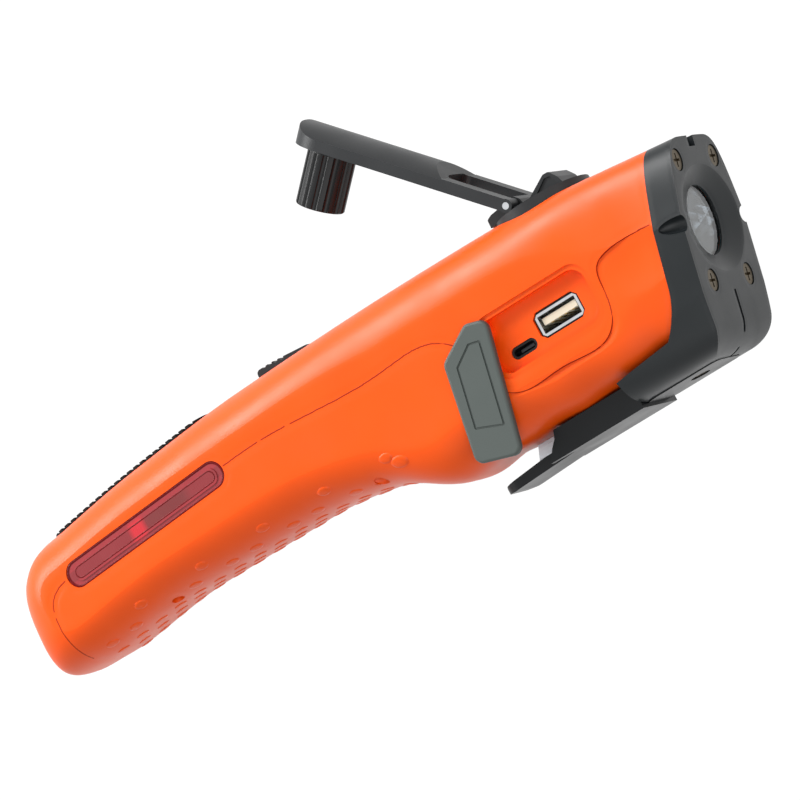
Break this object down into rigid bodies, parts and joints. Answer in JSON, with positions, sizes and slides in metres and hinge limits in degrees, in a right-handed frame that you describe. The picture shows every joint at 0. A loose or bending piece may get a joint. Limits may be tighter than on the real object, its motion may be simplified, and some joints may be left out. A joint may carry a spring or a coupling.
{
  "type": "hand crank phone charger torch",
  "caption": "Hand crank torch and phone charger: orange grip housing, folding crank, geared generator, ports under a swing cover, side lamps and belt cutter.",
  "frame": {"origin": "on the flat far flank, in line with the rear edge of the port bay", "axes": "+X from the grip end to the light, +Y from the belly to the crank, +Z from the far flank to the flank with the ports"},
  "size_m": [0.2436, 0.1201, 0.0449],
  "materials": {
    "housing_orange": "satin moulded",
    "head_black": "satin moulded",
    "crank_black": "fine grained",
    "knob_black": "satin, fluted",
    "bright_steel": "plated",
    "dark_steel": "blackened",
    "brass": "turned",
    "cover_grey": "matte",
    "lamp_red": "translucent, ribbed",
    "circuit_green": "solder mask",
    "pad_black": "ribbed",
    "switch_grey": "satin",
    "hook_green": "satin",
    "clear_lens": "clear",
    "mirror_chrome": "faceted mirror",
    "led_yellow": "phosphor",
    "heat_sink_aluminium": "machined",
    "frame_black": "moulded",
    "cell_wrap": "shrink wrap",
    "tongue_cream": "moulded",
    "gear_white": "acetal",
    "plate_steel": "pressed",
    "winding_copper": "enamelled wire",
    "rotor_iron": "ground"
  },
  "bodies": {
    "housing": {"upper_housing": "housing_orange", "lower_housing": "housing_orange", "head_bezel": "head_black", "shaft_bush": "brass", "port_cover_stud": "cover_grey", "near_side_lamp_lens": "lamp_red", "far_side_lamp_lens": "lamp_red", "near_side_lamp_board": "circuit_green", "far_side_lamp_board": "circuit_green", "top_grip_pad": "pad_black", "slide_switch_body": "switch_grey", "belt_cutter_hook": "hook_green", "belt_cutter_blade": "bright_steel", "belt_cutter_screw": "dark_steel", "head_screws": "dark_steel", "housing_screws": "dark_steel", "lens": "clear_lens", "reflector": "mirror_chrome", "led_board": "circuit_green", "main_led": "led_yellow", "heat_sink": "heat_sink_aluminium", "head_frame": "frame_black", "battery_cell": "cell_wrap", "battery_contact_rear": "bright_steel", "battery_contact_front": "bright_steel", "main_circuit_board": "circuit_green", "usb_socket_shell": "bright_steel", "usb_socket_tongue": "tongue_cream", "micro_usb_socket": "bright_steel", "usb_socket_surround": "frame_black", "micro_usb_surround": "frame_black", "idler_axle": "bright_steel", "gearbox_lower_plate": "plate_steel", "gearbox_upper_plate": "plate_steel", "gearbox_spacers": "brass", "gearbox_screws": "bright_steel", "generator_can": "plate_steel", "generator_winding": "winding_copper"},
    "crank": {"crank_hub": "crank_black", "crank_shaft": "bright_steel", "drive_gear": "gear_white", "hinge_pin": "bright_steel"},
    "arm": {"crank_arm": "crank_black", "knob_pin": "bright_steel"},
    "knob": {"crank_knob": "knob_black"},
    "idler": {"idler_gear": "gear_white"},
    "rotor": {"generator_pinion": "brass", "generator_rotor": "rotor_iron"},
    "cover": {"port_cover": "cover_grey"},
    "button": {"slide_switch_button": "switch_grey"}
  },
  "joints": [
    {"name": "crank_turn", "type": "hinge", "parent": "housing", "child": "crank", "pos_m": [0.0339, 0.03, 0.0215], "axis": [0, 1, 0], "continuous": true},
    {"name": "crank_fold", "type": "hinge", "parent": "crank", "child": "arm", "pos_m": [0.0283, 0.0342, 0.0215], "axis": [0, 0, 1], "range_deg": [-134, 46]},
    {"name": "knob_spin", "type": "hinge", "parent": "arm", "child": "knob", "pos_m": [-0.01289, 0.07686, 0.0215], "axis": [0.7193, 0.6947, 0], "continuous": true},
    {"name": "idler_spin", "type": "hinge", "parent": "housing", "child": "idler", "pos_m": [0.01695, 0.017, 0.01533], "axis": [0, 1, 0], "continuous": true},
    {"name": "generator_spin", "type": "hinge", "parent": "housing", "child": "rotor", "pos_m": [0.003, 0.01, 0.01907], "axis": [0, 1, 0], "continuous": true},
    {"name": "port_cover_swing", "type": "hinge", "parent": "housing", "child": "cover", "pos_m": [0.0083, 0.0067, 0.044], "axis": [0, 0, 1], "range_deg": [0, 102.7]},
    {"name": "switch_slide", "type": "slide", "parent": "housing", "child": "button", "axis": [1, 0, 0], "range_m": [0, 0.0048]}
  ],
  "couplings": [
    {"joint": "idler_spin", "follows": "crank_turn", "ratio": -4},
    {"joint": "generator_spin", "follows": "crank_turn", "ratio": 12}
  ]
}
